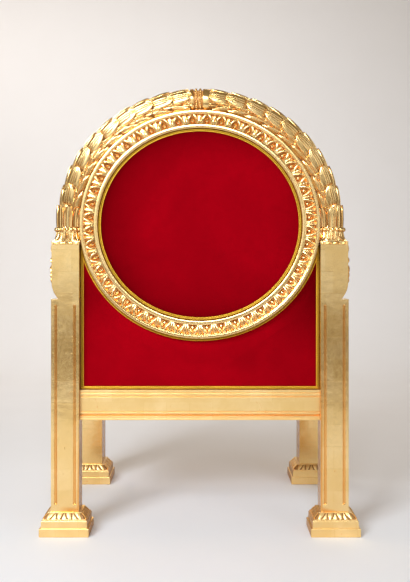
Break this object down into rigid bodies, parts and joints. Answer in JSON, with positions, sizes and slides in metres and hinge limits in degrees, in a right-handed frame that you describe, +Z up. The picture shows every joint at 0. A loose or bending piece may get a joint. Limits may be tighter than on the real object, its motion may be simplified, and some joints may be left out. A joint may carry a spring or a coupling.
{
  "type": "throne",
  "caption": "Gilded throne with an oval carved back, laurel wreath crest, square posts on stepped feet, open arms and red velvet.",
  "frame": {"origin": "on the floor under the middle of the throne", "axes": "+Z up, +Y the way the sitter faces, +X to the sitter's right"},
  "size_m": [1.149, 0.856, 1.6116],
  "materials": {
    "gilt_wood": "burnished gold leaf over carved wood, with faint leaf seams and orange in the hollows",
    "red_velvet": "deep red cotton velvet",
    "gold_braid": "flat woven gold braid",
    "seat_board_wood": "plain oiled beech"
  },
  "bodies": {
    "root": {"rear_post_left": "gilt_wood", "rear_post_right": "gilt_wood", "front_leg_left": "gilt_wood", "front_leg_right": "gilt_wood", "foot_rear_left": "gilt_wood", "foot_rear_right": "gilt_wood", "foot_front_left": "gilt_wood", "foot_front_right": "gilt_wood", "seat_rail_rear": "gilt_wood", "seat_rail_front": "gilt_wood", "seat_rail_left": "gilt_wood", "seat_rail_right": "gilt_wood", "arm_left": "gilt_wood", "arm_right": "gilt_wood", "back_ring": "gilt_wood", "wreath_left": "gilt_wood", "wreath_right": "gilt_wood", "wreath_binding": "gilt_wood", "seat_cushion": "red_velvet", "arm_pad_left": "red_velvet", "arm_pad_right": "red_velvet", "oval_pad_rear": "red_velvet", "oval_pad_front": "red_velvet", "lower_panel": "red_velvet", "oval_braid": "gold_braid", "lower_panel_braid": "gold_braid", "seat_board": "seat_board_wood"}
  },
  "joints": []
}
